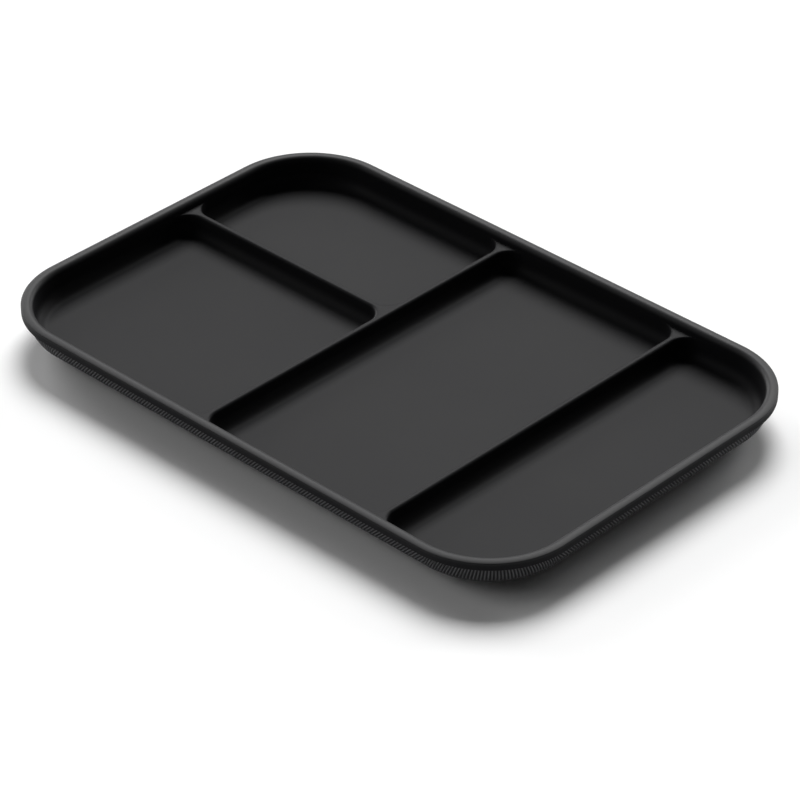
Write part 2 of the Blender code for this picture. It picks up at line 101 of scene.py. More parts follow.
class TrayShape(PropertyGroup):
    """Sizes of the moulded body."""

    corner_radius: FloatProperty(
        name="Corner radius", description="Plan radius of the tray's corners", default=36.7 * MM,
        unit="LENGTH", precision=5,
    )
    crown_radius: FloatProperty(
        name="Rim crown", description="Radius of the rim's gently rounded top", default=8.0 * MM,
        unit="LENGTH", precision=5,
    )
    rim_edge_radius: FloatProperty(
        name="Rim edge", description="Radius of the rim's outer edge", default=0.25 * MM,
        unit="LENGTH", precision=5,
    )
    rim_inner_radius: FloatProperty(
        name="Rim inner edge", description="Radius where the rim turns down into the pockets",
        default=2.4 * MM, unit="LENGTH", precision=5,
    )
    rim_thickness: FloatProperty(
        name="Rim thickness", description="Thickness of the rim over the hanging lip", default=1.9 * MM,
        unit="LENGTH", precision=5,
    )
    lip_drop: FloatProperty(
        name="Lip height", description="How far the lip hangs down", default=3.45 * MM,
        unit="LENGTH", precision=5,
    )
    lip_thickness: FloatProperty(
        name="Lip thickness", description="Thickness of the hanging lip", default=1.4 * MM,
        unit="LENGTH", precision=5,
    )
    wall: FloatProperty(
        name="Wall", description="Wall thickness of the moulding", default=1.5 * MM,
        unit="LENGTH", precision=5,
    )
    wall_inset: FloatProperty(
        name="Rim width", description="From the outer face to the pocket wall", default=4.9 * MM,
        unit="LENGTH", precision=5,
    )
    draft: FloatProperty(
        name="Draft", description="Slope of the pocket walls", default=math.radians(4.0),
        subtype="ANGLE",
    )
    divider_drop: FloatProperty(
        name="Divider drop", description="Divider tops below the rim", default=3.2 * MM,
        unit="LENGTH", precision=5,
    )
    divider_width: FloatProperty(
        name="Divider width", description="Width of the dividers below their rounded tops",
        default=2.8 * MM, unit="LENGTH", precision=5,
    )
    divider_edge: FloatProperty(
        name="Divider edge", description="Radius of the dividers' top edges", default=1.1 * MM,
        unit="LENGTH", precision=5,
    )
    pocket_depth: FloatProperty(
        name="Pocket depth", description="Pocket floors below the rim", default=11.7 * MM,
        unit="LENGTH", precision=5,
    )
    floor_fillet: FloatProperty(
        name="Floor fillet", description="Radius between wall and floor", default=5.2 * MM,
        unit="LENGTH", precision=5,
    )
    pocket_corner: FloatProperty(
        name="Pocket corner", description="Radius of the pocket corners beside a divider",
        default=8.0 * MM, unit="LENGTH", precision=5,
    )
    cross_divider_y: FloatProperty(
        name="Cross divider place", description="Middle of the short divider", default=17.4 * MM,
        unit="LENGTH", precision=5,
    )
    left_divider_x: FloatProperty(
        name="Left divider place", description="Middle of the left full-depth divider",
        default=-19.1 * MM, unit="LENGTH", precision=5,
    )
    right_divider_x: FloatProperty(
        name="Right divider place", description="Middle of the right full-depth divider",
        default=72.4 * MM, unit="LENGTH", precision=5,
    )
    boss_radius: FloatProperty(
        name="Boss radius", description="Radius of the screw bosses underneath", default=2.75 * MM,
        unit="LENGTH", precision=5,
    )
    boss_inset: FloatProperty(
        name="Boss place", description="Screw bosses in from the outer face", default=18.0 * MM,
        unit="LENGTH", precision=5,
    )
    corner_steps: IntProperty(
        name="Corner steps", description="Facets round each tray corner", default=32, min=4,
    )


class GripRingShape(PropertyGroup):
    """Sizes of the ribbed ring."""

    rib_pitch: FloatProperty(
        name="Rib pitch", description="Rib spacing along the straight sides", default=1.515 * MM,
        unit="LENGTH", precision=5,
    )
    rib_depth: FloatProperty(
        name="Rib depth", description="Depth of the valleys between ribs", default=0.45 * MM,
        unit="LENGTH", precision=5,
    )
    rib_lean: FloatProperty(
        name="Rib lean", description="How many ribs along the side a rib's foot stands from its top",
        default=5.8,
    )
    corner_ribs: IntProperty(
        name="Corner ribs", description="Ribs round each corner", default=50, min=8,
    )
    rib_steps: IntProperty(
        name="Rib steps", description="Facets on each rib", default=6, min=2,
    )
    top_inset: FloatProperty(
        name="Top edge inset", description="Outer top edge in from the lip's face", default=1.8 * MM,
        unit="LENGTH", precision=5,
    )
    top_depth: FloatProperty(
        name="Top edge depth", description="Top edge below the rim, hidden behind the lip",
        default=2.6 * MM, unit="LENGTH", precision=5,
    )
    low_edge_inset: FloatProperty(
        name="Low edge inset", description="Low edge in from the lip's face", default=5.0 * MM,
        unit="LENGTH", precision=5,
    )
    low_edge_depth: FloatProperty(
        name="Low edge depth", description="Low edge below the rim", default=11.7 * MM,
        unit="LENGTH", precision=5,
    )
    knee_inset: FloatProperty(
        name="Knee inset", description="Where the flange starts, in from the lip's face",
        default=9.3 * MM, unit="LENGTH", precision=5,
    )
    flange_inset: FloatProperty(
        name="Flange inset", description="Inner end of the clamped flange", default=13.8 * MM,
        unit="LENGTH", precision=5,
    )
    flange_thickness: FloatProperty(
        name="Flange thickness", description="Thickness of the clamped flange", default=0.9 * MM,
        unit="LENGTH", precision=5,
    )
    seat_gap: FloatProperty(
        name="Seat gap", description="Gap between the ring and the body", default=0.1 * MM,
        unit="LENGTH", precision=5,
    )


class TrayFinish(PropertyGroup):
    """Colours of the materials, as sRGB hex values."""

    soft_touch: StringProperty(
        name="Soft-touch lacquer", description="Colour of the body", default="#18181a",
    )
    soft_touch_worn: StringProperty(
        name="Rubbed lacquer", description="Colour of the body where hands rub it", default="#1c1c1d",
    )
    ring_rubber: StringProperty(
        name="Ring rubber", description="Colour of the ribbed ring", default="#68686a",
    )
    ring_dust: StringProperty(
        name="Ring dust", description="Colour of the ring where dust lies on it", default="#747476",
    )
    # Painted shade: a dark colour laid in the hollows between the ribs and where the ribs fade out, for the
    # shade that falls there.
    ring_painted_shade: StringProperty(
        name="Ring hollows", description="Colour of the ring between its ribs", default="#101011",
    )
    base_abs: StringProperty(
        name="Base plastic", description="Colour of the base plate", default="#222223",
    )
    oxide_steel: StringProperty(
        name="Screw steel", description="Colour of the base screws", default="#3a3a3d",
    )
    rubbed_steel: StringProperty(
        name="Rubbed steel", description="Colour of the screws where the oxide is thin", default="#6a6a6e",
    )
    foot_rubber: StringProperty(
        name="Foot rubber", description="Colour of the feet", default="#2a2a2b",
    )
    foot_dust: StringProperty(
        name="Foot dust", description="Colour of the feet where dust lies on them", default="#3a3a3b",
    )


class StudioSettings(PropertyGroup):
    """Camera, floor and lamps."""

    lens: FloatProperty(
        name="Lens", description="Focal length in millimetres", default=172.76, min=10.0,
    )
    azimuth: FloatProperty(
        name="Azimuth", description="Camera's place round the tray", default=math.radians(43.68),
        subtype="ANGLE",
    )
    elevation: FloatProperty(
        name="Elevation", description="Camera's height over the horizon",
        default=math.radians(33.94), subtype="ANGLE",
    )
    target: FloatVectorProperty(
        name="Target", description="Point the camera looks at",
        default=(29.49 * MM, -27.16 * MM, 17.0 * MM), subtype="TRANSLATION",
    )
    distance: FloatProperty(
        name="Distance", description="Camera to target", default=1.4327, unit="LENGTH",
    )
    floor_colour: StringProperty(
        name="Floor", description="Colour of the studio floor", default="#fafafa",
    )
    lamp_level: FloatProperty(
        name="Lamp level", description="Scales all the soft lights together", default=1.0,
    )
    room_light: FloatProperty(
        name="Room light", description="Light that comes evenly from all round", default=0.05,
    )


# Node and colour helpers


def linear(hex_colour):
    """Turns an sRGB hex colour into the linear RGBA that shaders use."""
    digits = hex_colour.lstrip("#")
    channels = []
    for start in (0, 2, 4):
        value = int(digits[start:start + 2], 16) / 255
        # The curve of the sRGB standard: a straight foot, then a power.
        channels.append(value / 12.92 if value <= 0.04045 else ((value + 0.055) / 1.055) ** 2.4)
    return (*channels, 1.0)


def add_node(tree, kind, place, settings=None, inputs=None, links=None):
    """Adds a node at a place, with its settings, socket values and incoming links."""
    node = tree.nodes.new(kind)
    node.location = place
    for name, value in (settings or {}).items():
        setattr(node, name, value)
    for name, value in (inputs or {}).items():
        node.inputs[name].default_value = value
    for name, source in (links or {}).items():
        tree.links.new(source, node.inputs[name])
    return node


def new_material(name):
    """An empty node material with its output, and the tree to fill."""
    made = bpy.data.materials.new(name)
    made.use_nodes = True
    tree = made.node_tree
    tree.nodes.clear()
    return made, tree


def add_ramp(tree, place, stops, source):
    """A colour ramp with its stops, fed by a socket. Gives its colour."""
    ramp = add_node(tree, "ShaderNodeValToRGB", place, links={"Fac": source})
    elements = ramp.color_ramp.elements
    while len(elements) < len(stops):
        elements.new(0.5)
    for element, (position, colour) in zip(elements, stops):
        element.position = position
        element.color = colour
    return ramp.outputs["Color"]


def per_millimetre(size_mm):
    """Texture scale, in object coordinates of metres, that repeats about every size_mm."""
    return 1 / (size_mm * MM)


def remap(tree, place, source, before, after):
    """Maps a socket from one pair of values to another, and holds it at their ends beyond."""
    node = add_node(
        tree, "ShaderNodeMapRange", place,
        inputs={"From Min": before[0], "From Max": before[1], "To Min": after[0], "To Max": after[1]},
        links={"Value": source},
    )
    return node.outputs["Result"]


# Materials


def soft_touch_lacquer(finish):
    """Soft-touch lacquer, sprayed on a moulded polycarbonate body.

    The lacquer's matting beads scatter light, so it looks evenly dull with a faint sheen at low angles.
    The spray leaves a fine orange peel, and hands polish the rim slightly.
    """
    made, tree = new_material("Soft-touch lacquer on polycarbonate, sprayed")
    where = add_node(tree, "ShaderNodeTexCoord", (-1200, 0)).outputs["Object"]
    # Matting beads are near 0.03 mm. Drawn at 0.35 mm, or the render would lose them.
    beads = add_node(
        tree, "ShaderNodeTexNoise", (-900, 200),
        inputs={"Scale": per_millimetre(0.35), "Detail": 2.0, "Roughness": 0.6}, links={"Vector": where},
    )
    # Orange peel of a sprayed coat, about 3 mm from swell to swell.
    peel = add_node(
        tree, "ShaderNodeTexNoise", (-900, -100),
        inputs={"Scale": per_millimetre(3.0), "Detail": 1.0}, links={"Vector": where},
    )
    # Patches that cleaning and handling leave, 60 mm across.
    patches = add_node(
        tree, "ShaderNodeTexNoise", (-900, -400),
        inputs={"Scale": per_millimetre(60.0), "Detail": 3.0}, links={"Vector": where},
    )
    colour = add_ramp(
        tree, (-600, -300), ((0.3, linear(finish.soft_touch)), (0.75, linear(finish.soft_touch_worn))),
        patches.outputs["Fac"],
    )
    rough = remap(tree, (-600, 100), beads.outputs["Fac"], (0.3, 0.7), (0.48, 0.56))
    peel_bump = add_node(
        tree, "ShaderNodeBump", (-350, -100), inputs={"Strength": 0.25, "Distance": 0.02 * MM},
        links={"Height": peel.outputs["Fac"]},
    )
    bead_bump = add_node(
        tree, "ShaderNodeBump", (-150, -100), inputs={"Strength": 0.5, "Distance": 0.03 * MM},
        links={"Height": beads.outputs["Fac"], "Normal": peel_bump.outputs["Normal"]},
    )
    # Hands polish the rim's top, and less and less of it to 1.6 mm down. Elsewhere the beads kill the shine.
    height = add_node(tree, "ShaderNodeSeparateXYZ", (-600, 400), links={"Vector": where}).outputs["Z"]
    polished = (TRAY_TOP - 1.6 * MM, TRAY_TOP - 0.5 * MM)
    shine = remap(tree, (-350, 300), height, polished, (0.05, 0.135))
    shader = add_node(
        tree, "ShaderNodeBsdfPrincipled", (100, 0), inputs={"IOR": 1.5},
        links={
            "Base Color": colour,
            "Specular IOR Level": shine,
            "Roughness": rough,
            "Normal": bead_bump.outputs["Normal"],
        },
    )
    add_node(tree, "ShaderNodeOutputMaterial", (400, 0), links={"Surface": shader.outputs["BSDF"]})
    return made


def moulded_rubber(name, colour, dust, low_rough, high_rough, hollow=None):
    """Moulded rubber: a dull skin with fine grain and patches of pale dust.

    Where a hollow colour is given, it is painted shade: the hollows between the ribs and the ring off its
    ribs get that dark colour, and the rib tops keep the skin.
    """
    made, tree = new_material(name)
    where = add_node(tree, "ShaderNodeTexCoord", (-1200, 0)).outputs["Object"]
    # The mould's grain is near 0.1 mm. Drawn at 0.4 mm, or the render would lose it.
    grain = add_node(
        tree, "ShaderNodeTexNoise", (-900, 200),
        inputs={"Scale": per_millimetre(0.4), "Detail": 3.0}, links={"Vector": where},
    )
    # Dust settles in patches of about 12 mm.
    patches = add_node(
        tree, "ShaderNodeTexNoise", (-900, -200),
        inputs={"Scale": per_millimetre(12.0), "Detail": 4.0}, links={"Vector": where},
    )
    skin = add_ramp(
        tree, (-600, -200), ((0.35, linear(colour)), (0.8, linear(dust))), patches.outputs["Fac"],
    )
    # Painted shade: the ridge value mixes the dark hollow colour into the hollows and the faded ends of the
    # ribs.
    if hollow:
        ridge = add_node(tree, "ShaderNodeAttribute", (-600, -450), settings={"attribute_name": RIDGE})
        shaded_skin = add_node(
            tree, "ShaderNodeMixRGB", (-300, -300), inputs={"Color1": linear(hollow)},
            links={"Fac": ridge.outputs["Fac"], "Color2": skin},
        )
        skin = shaded_skin.outputs["Color"]
    rough = remap(tree, (-600, 150), grain.outputs["Fac"], (0.3, 0.7), (low_rough, high_rough))
    bump = add_node(
        tree, "ShaderNodeBump", (-300, -100), inputs={"Strength": 0.4, "Distance": 0.04 * MM},
        links={"Height": grain.outputs["Fac"]},
    )
    shader = add_node(
        tree, "ShaderNodeBsdfPrincipled", (0, 0), inputs={"IOR": 1.52, "Specular IOR Level": 0.15},
        links={"Base Color": skin, "Roughness": rough, "Normal": bump.outputs["Normal"]},
    )
    add_node(tree, "ShaderNodeOutputMaterial", (300, 0), links={"Surface": shader.outputs["BSDF"]})
    return made


def eroded_abs(finish):
    """ABS moulded in a spark-eroded tool: even, fine pits that make it dull."""
    made, tree = new_material("ABS, moulded with a spark-eroded texture")
    where = add_node(tree, "ShaderNodeTexCoord", (-1200, 0)).outputs["Object"]
    # Spark pits are near 0.1 mm. Drawn at 0.5 mm so that a close view shows them.
    pits = add_node(
        tree, "ShaderNodeTexVoronoi", (-900, 150), inputs={"Scale": per_millimetre(0.5)},
        links={"Vector": where},
    )
    # Flow marks spread from the gates, 45 mm apart.
    flow = add_node(
        tree, "ShaderNodeTexNoise", (-900, -200),
        inputs={"Scale": per_millimetre(45.0), "Detail": 2.0, "Distortion": 0.4}, links={"Vector": where},
    )
    rough = remap(tree, (-600, -200), flow.outputs["Fac"], (0.3, 0.7), (0.57, 0.6))
    tone = add_ramp(
        tree, (-600, 350), ((0.0, linear(finish.base_abs)), (1.0, linear(finish.soft_touch))),
        flow.outputs["Fac"],
    )
    bump = add_node(
        tree, "ShaderNodeBump", (-300, 0), inputs={"Strength": 0.5, "Distance": 0.03 * MM},
        links={"Height": pits.outputs["Distance"]},
    )
    shader = add_node(
        tree, "ShaderNodeBsdfPrincipled", (0, 0), inputs={"IOR": 1.54},
        links={"Base Color": tone, "Roughness": rough, "Normal": bump.outputs["Normal"]},
    )
    add_node(tree, "ShaderNodeOutputMaterial", (300, 0), links={"Surface": shader.outputs["BSDF"]})
    return made


def oxide_steel(finish):
    """Black-oxide steel, machined and dipped: a dark metal with brighter rubbed spots."""
    made, tree = new_material("Steel screw, black oxide")
    where = add_node(tree, "ShaderNodeTexCoord", (-1200, 0)).outputs["Object"]
    # Uneven oxide, in spots of 0.8 mm.
    spots = add_node(
        tree, "ShaderNodeTexNoise", (-900, 0),
        inputs={"Scale": per_millimetre(0.8), "Detail": 4.0}, links={"Vector": where},
    )
    rough = remap(tree, (-600, 0), spots.outputs["Fac"], (0.0, 1.0), (0.32, 0.5))
    tone = add_ramp(
        tree, (-600, 300), ((0.3, linear(finish.oxide_steel)), (0.9, linear(finish.rubbed_steel))),
        spots.outputs["Fac"],
    )
    shader = add_node(
        tree, "ShaderNodeBsdfPrincipled", (-200, 0), inputs={"Metallic": 1.0},
        links={"Base Color": tone, "Roughness": rough},
    )
    add_node(tree, "ShaderNodeOutputMaterial", (100, 0), links={"Surface": shader.outputs["BSDF"]})
    return made


# Mesh helpers


def outline(low, high, radii, steps, z):
    """Points of a level rounded rectangle, from its back right corner round by the left."""
    points = []
    for corner, (side_x, side_y) in enumerate(CORNER_SIGNS):
        radius = radii[corner]
        centre_x = (high[0] if side_x > 0 else low[0]) - side_x * radius
        centre_y = (high[1] if side_y > 0 else low[1]) - side_y * radius
        for step in range(steps[corner] + 1):
            turn = math.pi / 2 * (corner + step / steps[corner])
            x = centre_x + radius * math.cos(turn)
            y = centre_y + radius * math.sin(turn)
            points.append(Vector((x, y, z)))
    return points


def circle(centre, radius, z, steps):
    """Points of a level circle."""
    points = []
    for step in range(steps):
        turn = 2 * math.pi * step / steps
        points.append(Vector((centre[0] + radius * math.cos(turn), centre[1] + radius * math.sin(turn), z)))
    return points


def skin_loops(bm, loops):
    """Joins closed loops of equal length into one closed skin with flat ends."""
    rings = [[bm.verts.new(point) for point in loop] for loop in loops]
    for upper, lower in zip(rings, rings[1:]):
        bridge(bm, upper, lower)
    bm.faces.new(rings[0])
    bm.faces.new(list(reversed(rings[-1])))


def bridge(bm, upper, lower):
    """Faces between two loops of the same length."""
    count = len(upper)
    for here in range(count):
        after = (here + 1) % count
        bm.faces.new((upper[here], lower[here], lower[after], upper[after]))


def loft(name, bodies):
    """An object of one or more lofted bodies, each a list of loops from top to bottom."""
    bm = bmesh.new()
    for loops in bodies:
        skin_loops(bm, loops)
    return add_piece(name, bm)


def add_piece(name, bm):
    """Turns a bmesh into a linked object."""
    bmesh.ops.recalc_face_normals(bm, faces=bm.faces)
    mesh = bpy.data.meshes.new(name)
    bm.to_mesh(mesh)
    bm.free()
    item = bpy.data.objects.new(name, mesh)
    bpy.context.scene.collection.objects.link(item)
    return item


def cut_away(item, cutter):
    """Cuts a closed shape out of an object, then removes that shape."""
    step = item.modifiers.new("cut", "BOOLEAN")
    step.operation = "DIFFERENCE"
    step.solver = "EXACT"
    step.object = cutter
    graph = bpy.context.evaluated_depsgraph_get()
    mesh = bpy.data.meshes.new_from_object(item.evaluated_get(graph))
    item.modifiers.clear()
    item.data = mesh
    bpy.data.objects.remove(cutter, do_unlink=True)


def smooth(item, angle):
    """Shades an object smooth, but for edges that turn by more than an angle."""
    item.data.shade_smooth()
    item.data.set_sharp_from_angle(angle=angle)


def finish_piece(item, made, slot, *nodes):
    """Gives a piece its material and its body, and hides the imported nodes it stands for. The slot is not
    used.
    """
    item.data.materials.clear()
    item.data.materials.append(made)
    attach(item, BODY)
    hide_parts(*nodes)


def repaint(node, made):
    """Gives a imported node, kept as it is, its finished material."""
    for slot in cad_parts[node].material_slots:
        slot.material = made


# Body shapes


class BodyShape:
    """The moulded body's profile and pockets, worked out from its sizes."""

    def __init__(self, sizes):
        self.sizes = sizes
        # The centre of the floor fillet: its drop below the divider tops, and how far in it lies.
        self.centre_drop = sizes.pocket_depth - sizes.divider_drop - sizes.floor_fillet
        start = self.centre_drop + sizes.floor_fillet * math.sin(sizes.draft)
        self.centre_run = start * math.tan(sizes.draft) + sizes.floor_fillet * math.cos(sizes.draft)
        self.bottom_depth = sizes.pocket_depth + sizes.wall
        # The top of the rim, where its crown is level and its inner edge starts to turn down.
        bend = sizes.wall_inset + (sizes.rim_inner_radius - sizes.divider_drop) * math.tan(sizes.draft)
        self.crown_inset = bend - sizes.rim_inner_radius / math.cos(sizes.draft)
        self.fillet_steps = 12
        self.edge_steps = 5

    def run(self, drop, skin=0.0):
        """How far a pocket's side has come in at a drop below the divider tops.

        With a skin it is the outside of a wall of that thickness, so it comes in later and ends lower.
        """
        radius = self.sizes.floor_fillet + skin
        draft = self.sizes.draft
        if drop <= self.centre_drop + radius * math.sin(draft):
            return drop * math.tan(draft) - skin / math.cos(draft)
        return self.centre_run - math.sqrt(max(radius ** 2 - (drop - self.centre_drop) ** 2, 0.0))

    def drops(self, skin=0.0):
        """Drops of the floor fillet's rows, from its start to the floor."""
        draft = self.sizes.draft
        radius = self.sizes.floor_fillet + skin
        steps = self.fillet_steps
        turns = [draft + (math.pi / 2 - draft) * step / steps for step in range(steps + 1)]
        return [self.centre_drop + radius * math.sin(turn) for turn in turns]

    def tray_outline(self, inset, depth):
        """The tray's own outline, moved in by inset, at a depth below the rim's top."""
        high = (HALF_LENGTH - inset, HALF_WIDTH - inset)
        low = (-high[0], -high[1])
        radius = self.sizes.corner_radius - inset
        steps = self.sizes.corner_steps
        return outline(low, high, [radius] * 4, [steps] * 4, TRAY_TOP - depth)

    def outside(self):
        """Inset and depth of the body's outside, from the rim to the underside."""
        sizes = self.sizes
        crown = sizes.crown_radius
        edge = sizes.rim_edge_radius
        # The crown tilts by this much where the outer edge's small radius takes over, without a corner.
        tilt = math.asin((self.crown_inset - edge) / (crown - edge))
        edge_depth = crown - (crown - edge) * math.cos(tilt)
        points = []
        for step in range(self.edge_steps):
            turn = tilt * step / self.edge_steps
            points.append((self.crown_inset - crown * math.sin(turn), crown * (1 - math.cos(turn))))
        for step in range(self.edge_steps + 1):
            turn = tilt + (math.pi / 2 - tilt) * step / self.edge_steps
            points.append((edge * (1 - math.sin(turn)), edge_depth - edge * math.cos(turn)))
        # The lip's foot is broken by a small bevel on both sides.
        lip_round = sizes.lip_thickness / 6
        points.append((0.0, sizes.lip_drop - lip_round))
        points.append((lip_round, sizes.lip_drop))
        points.append((sizes.lip_thickness - lip_round, sizes.lip_drop))
        points.append((sizes.lip_thickness, sizes.lip_drop - lip_round))
        points.append((sizes.lip_thickness, sizes.rim_thickness))
        under = sizes.wall_inset + self.run(sizes.rim_thickness - sizes.divider_drop, sizes.wall)
        points.append((under, sizes.rim_thickness))
        for drop in self.drops(sizes.wall):
            points.append((sizes.wall_inset + self.run(drop, sizes.wall), sizes.divider_drop + drop))
        return points

    def rim_inside(self):
        """Inset and depth of the rim's rounded inner edge, down to the divider tops."""
        sizes = self.sizes
        radius = sizes.rim_inner_radius
        centre = self.crown_inset
        # It starts above the rim, so that the cut leaves no skin.
        points = [(centre, -sizes.wall), (centre, 0.0)]
        span = math.pi / 2 - sizes.draft
        steps = 2 * self.edge_steps
        for step in range(1, steps + 1):
            turn = math.pi / 2 - span * step / steps
            points.append((centre + radius * math.cos(turn), radius * (1 - math.sin(turn))))
        points.append((sizes.wall_inset, sizes.divider_drop))
        return points

    def pockets(self):
        """The four pockets at the divider tops: low corner, high corner and their outer sides."""
        sizes = self.sizes
        left = -HALF_LENGTH + sizes.wall_inset
        right = HALF_LENGTH - sizes.wall_inset
        front = -HALF_WIDTH + sizes.wall_inset
        back = HALF_WIDTH - sizes.wall_inset
        half = sizes.divider_width / 2
        column_end = sizes.left_divider_x - half
        middle_start = sizes.left_divider_x + half
        middle_end = sizes.right_divider_x - half
        last_start = sizes.right_divider_x + half
        cross_low = sizes.cross_divider_y - half
        cross_high = sizes.cross_divider_y + half
        return (
            ((left, front), (column_end, cross_low), {"left", "front"}),
            ((left, cross_high), (column_end, back), {"left", "back"}),
            ((middle_start, front), (middle_end, back), {"front", "back"}),
            ((last_start, front), (right, back), {"front", "back", "right"}),
        )

    def pocket_loop(self, pocket, drop, skin=0.0, edge=0.0, lift=0.0):
        """One level of a pocket. edge moves only the divider sides out, for their rounded tops."""
        low, high, outer = pocket
        sizes = self.sizes
        run = self.run(drop, skin)
        insets = {}
        for side in ("left", "right", "front", "back"):
            insets[side] = run if side in outer else run - edge
        radii = []
        steps = []
        for across, along in (("right", "back"), ("left", "back"), ("left", "front"), ("right", "front")):
            if across in outer and along in outer:
                radii.append(sizes.corner_radius - sizes.wall_inset - run)
                steps.append(sizes.corner_steps)
            else:
                radii.append(sizes.pocket_corner - run)
                steps.append(sizes.corner_steps // 2)
        inner_low = (low[0] + insets["left"], low[1] + insets["front"])
        inner_high = (high[0] - insets["right"], high[1] - insets["back"])
        return outline(inner_low, inner_high, radii, steps, TRAY_TOP - sizes.divider_drop - drop + lift)

    def pocket_cutter(self, pocket):
        """The loft that cuts one pocket, with rounded divider edges at its top."""
        edge = self.sizes.divider_edge
        loops = [self.pocket_loop(pocket, 0.0, edge=edge, lift=edge)]
        for step in range(self.edge_steps + 1):
            turn = math.pi / 2 * step / self.edge_steps
            drop = edge * (1 - math.cos(turn))
            loops.append(self.pocket_loop(pocket, drop, edge=edge * (1 - math.sin(turn))))
        loops.extend(self.pocket_loop(pocket, drop) for drop in self.drops())
        return loops

    def shell_of(self, pocket):
        """The same pocket grown by the wall, from the divider tops to below the body."""
        wall = self.sizes.wall
        drops = [0.0] + self.drops(wall)
        loops = [self.pocket_loop(pocket, drop, wall) for drop in drops]
        loops.append(self.pocket_loop(pocket, drops[-1], wall, lift=-wall))
        return loops

    def screw_places(self):
        """Where the six base screws stand."""
        sizes = self.sizes
        side = HALF_WIDTH - sizes.boss_inset
        return (
            (-HALF_LENGTH + sizes.boss_inset, sizes.cross_divider_y),
            (sizes.left_divider_x - sizes.divider_width / 2, sizes.cross_divider_y),
            (sizes.left_divider_x, -side),
            (sizes.left_divider_x, side),
            (sizes.right_divider_x, -side),
            (sizes.right_divider_x, side),
        )

    def under_cavity(self):
        """The hollow that opens downwards under the dividers, with the screw bosses left standing."""
        sizes = self.sizes
        # Half a wall in from the pocket sides, so the body's side walls stay whole behind the dividers' ends.
        clear = sizes.wall / 2
        drops = [sizes.wall] + self.drops()
        insets = [sizes.wall_inset + self.run(drop) + clear for drop in drops]
        loops = [self.tray_outline(inset, sizes.divider_drop + drop) for inset, drop in zip(insets, drops)]
        loops.append(self.tray_outline(insets[-1], self.bottom_depth + clear))
        cavity = loft("under_cavity", [loops])
        for pocket in self.pockets():
            cut_away(cavity, loft("shell", [self.shell_of(pocket)]))
        top = TRAY_TOP - sizes.divider_drop
        bottom = TRAY_TOP - self.bottom_depth - sizes.wall
        bosses = []
        for place in self.screw_places():
            bosses.append([circle(place, sizes.boss_radius, z, sizes.corner_steps) for z in (top, bottom)])
        cut_away(cavity, loft("bosses", bosses))
        return cavity


# Ribbed ring


def ring_stretches(corner_radius, shape):
    """The ring's corners and straights in turn: ribs, centres at both ends, and turns at both ends."""
    reach_x = HALF_LENGTH - corner_radius
    reach_y = HALF_WIDTH - corner_radius
    long_ribs = round(2 * reach_x / shape.rib_pitch)
    short_ribs = round(2 * reach_y / shape.rib_pitch)
    centres = [Vector((side_x * reach_x, side_y * reach_y)) for side_x, side_y in CORNER_SIGNS]
    stretches = []
    for corner, centre in enumerate(centres):
        start = math.pi / 2 * corner
        end = math.pi / 2 * (corner + 1)
        stretches.append((shape.corner_ribs, centre, centre, start, end))
        ribs = long_ribs if corner % 2 == 0 else short_ribs
        after = centres[(corner + 1) % len(centres)]
        stretches.append((ribs, centre, after, end, end))
    return stretches


def ring_place(stretches, rib):
    """The centre of the ring's turn and the way it faces, at a rib counted from the back right corner."""
    rib %= sum(stretch[0] for stretch in stretches)
    for ribs, centre, after, start, end in stretches:
        if rib < ribs:
            break
        rib -= ribs
    share = rib / ribs
    turn = start + (end - start) * share
    return centre.lerp(after, share), Vector((math.cos(turn), math.sin(turn)))


def ring_section(body, shape):
    """The ring's section from its top edge to its seat: inset, depth, share of rib depth and of lean."""
    sizes = body.sizes
    skin = sizes.wall + shape.seat_gap
    bottom = body.bottom_depth + shape.seat_gap
    rise = shape.low_edge_depth - shape.top_depth
    spread = shape.low_edge_inset - shape.top_inset
    points = []
    # The ribbed band bulges: it comes in little at its top and most at its foot.
    for share in BAND_ROWS:
        ribs = min(1.0, share * RIB_FADE, (1.0 - share) * RIB_FADE)
        points.append((shape.top_inset + spread * share ** 2, shape.top_depth + rise * share, ribs, share))
    # The low edge rounds over, and the last trace of the ribs with it. Then the flange runs in.
    thick = shape.flange_thickness
    points.append((shape.low_edge_inset + thick / 2, shape.low_edge_depth + thick / 4, 0.1, 1.0))
    points.append((shape.low_edge_inset + 2 * thick, shape.low_edge_depth + thick, 0.0, 1.0))
    points.append((shape.knee_inset, bottom + thick, 0.0, 1.0))
    points.append((shape.flange_inset, bottom + thick, 0.0, 1.0))
    points.append((shape.flange_inset, bottom, 0.0, 1.0))
    points.append((sizes.wall_inset + body.centre_run, bottom, 0.0, 1.0))
    # The seat climbs the body's floor fillet by every second row of it, and unwinds the lean as it goes.
    seat = body.drops(skin)[-3::-2] + [shape.top_depth - sizes.divider_drop]
    for place, drop in enumerate(seat):
        lean = 1 - (place + 1) / len(seat)
        points.append((sizes.wall_inset + body.run(drop, skin), sizes.divider_drop + drop, 0.0, lean))
    return points


